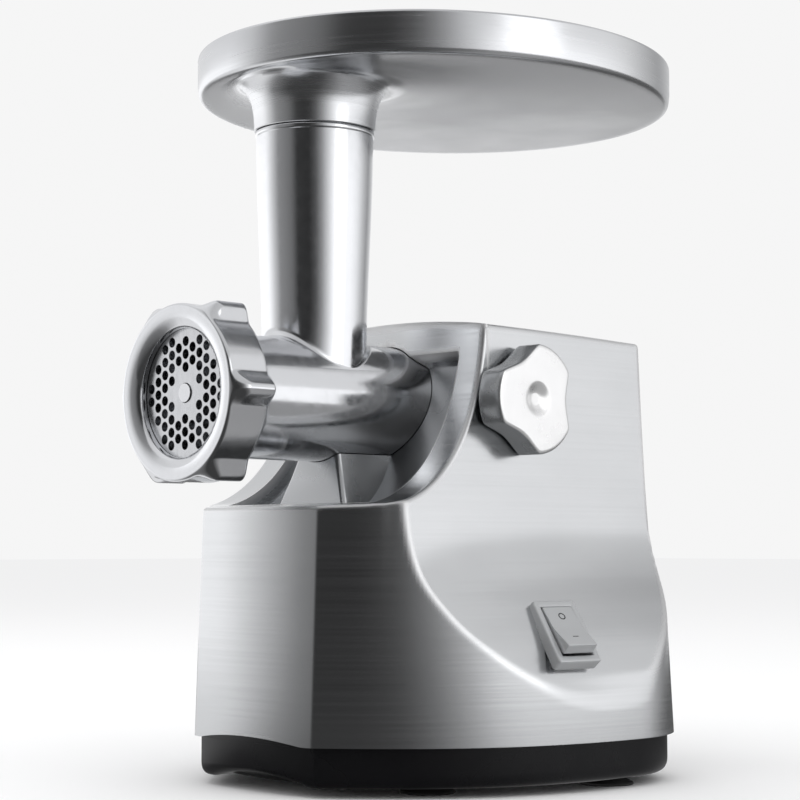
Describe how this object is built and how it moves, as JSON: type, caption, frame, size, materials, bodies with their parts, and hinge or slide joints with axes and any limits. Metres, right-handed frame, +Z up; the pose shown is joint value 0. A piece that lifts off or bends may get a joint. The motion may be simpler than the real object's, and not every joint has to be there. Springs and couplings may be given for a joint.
{
  "type": "electric meat grinder",
  "caption": "Kitchen meat grinder: metal motor housing with side scoops, horizontal barrel with feed tube and round hopper tray, lobed ring nut, lock knob and rocker switch.",
  "frame": {"origin": "middle of the object's box on the table surface, under the feet", "axes": "+Z up, -Y to the front where the ring nut is, +X to the side with the switch and the lock knob"},
  "size_m": [0.2139, 0.2716, 0.3328],
  "materials": {
    "housing_metal": "fine brushed satin",
    "liner_metal": "satin",
    "cast_aluminium": "polished casting",
    "tray_aluminium": "brushed and polished",
    "knob_finish": "silver plated, satin",
    "switch_silver": "silver grey",
    "black_base": "gloss black",
    "dark_plastic": "fine texture",
    "rubber": "matt",
    "ground_steel": "ground",
    "nylon": "natural",
    "motor_steel": "bare",
    "gear_case": "die cast",
    "winding_copper": "bare",
    "circuit_board": "coated"
  },
  "bodies": {
    "housing": {"base_screw_1": "ground_steel", "base_screw_2": "ground_steel", "base_screw_3": "ground_steel", "base_screw_4": "ground_steel", "base_tub": "black_base", "body_shell": "housing_metal", "brush_holder_left": "dark_plastic", "brush_holder_right": "dark_plastic", "control_board": "circuit_board", "cord_gland": "rubber", "first_axle": "ground_steel", "foot_front_left": "rubber", "foot_front_right": "rubber", "foot_rear_left": "rubber", "foot_rear_right": "rubber", "gearbox_cover": "gear_case", "gearbox_housing": "gear_case", "head_socket": "cast_aluminium", "motor_bracket": "motor_steel", "motor_stator": "motor_steel", "rear_vent_panel": "dark_plastic", "saddle_liner": "liner_metal", "second_axle": "ground_steel", "switch_housing": "switch_silver"},
    "switch_rocker": {"switch_rocker": "switch_silver"},
    "lock_knob": {"lock_knob": "knob_finish"},
    "lock_pin": {"lock_pin": "ground_steel"},
    "rotor": {"motor_rotor": "winding_copper", "motor_fan": "dark_plastic"},
    "first_gear": {"first_gear": "nylon"},
    "second_gear": {"second_gear": "nylon"},
    "output_drive": {"output_drive": "ground_steel"},
    "head": {"grinder_head": "cast_aluminium", "grinding_plate": "ground_steel", "auger_bush": "nylon"},
    "auger": {"auger": "cast_aluminium", "cross_knife": "ground_steel"},
    "ring_nut": {"ring_nut": "cast_aluminium"},
    "tray": {"hopper_tray": "tray_aluminium"}
  },
  "joints": [
    {"name": "switch_rocker", "type": "hinge", "parent": "housing", "child": "switch_rocker", "pos_m": [0.09556, 0.00305, 0.06901], "axis": [0.1564, 0.9877, 0], "range_deg": [0, 24]},
    {"name": "lock_knob_turn", "type": "hinge", "parent": "housing", "child": "lock_knob", "pos_m": [0.07, 0.00365, 0.17], "axis": [1, 0, 0], "range_deg": [0, 720]},
    {"name": "lock_pin_slide", "type": "slide", "parent": "housing", "child": "lock_pin", "axis": [1, 0, 0], "range_m": [0, 0.0041]},
    {"name": "rotor_spin", "type": "hinge", "parent": "housing", "child": "rotor", "pos_m": [0, 0, 0.07175], "axis": [0, -1, 0], "continuous": true},
    {"name": "first_gear_spin", "type": "hinge", "parent": "housing", "child": "first_gear", "pos_m": [0, 0, 0.1055], "axis": [0, -1, 0], "continuous": true},
    {"name": "second_gear_spin", "type": "hinge", "parent": "housing", "child": "second_gear", "pos_m": [0, 0, 0.137], "axis": [0, -1, 0], "continuous": true},
    {"name": "output_spin", "type": "hinge", "parent": "housing", "child": "output_drive", "pos_m": [0, 0, 0.17], "axis": [0, -1, 0], "continuous": true},
    {"name": "head_slide", "type": "slide", "parent": "housing", "child": "head", "axis": [0, -1, 0], "range_m": [0, 0.032]},
    {"name": "auger_spin", "type": "hinge", "parent": "head", "child": "auger", "pos_m": [0, 0, 0.17], "axis": [0, -1, 0], "continuous": true},
    {"name": "ring_nut_turn", "type": "hinge", "parent": "head", "child": "ring_nut", "pos_m": [0, -0.12, 0.17], "axis": [0, -1, 0], "range_deg": [0, 450]},
    {"name": "tray_lift", "type": "slide", "parent": "head", "child": "tray", "axis": [0, 0, 1], "range_m": [0, 0.06]}
  ],
  "couplings": [
    {"joint": "first_gear_spin", "follows": "rotor_spin", "ratio": -0.25},
    {"joint": "second_gear_spin", "follows": "rotor_spin", "ratio": 0.078125},
    {"joint": "output_spin", "follows": "rotor_spin", "ratio": -0.022978},
    {"joint": "auger_spin", "follows": "rotor_spin", "ratio": -0.022978},
    {"joint": "lock_pin_slide", "follows": "lock_knob_turn", "m_per_rad": 0.00031831}
  ]
}
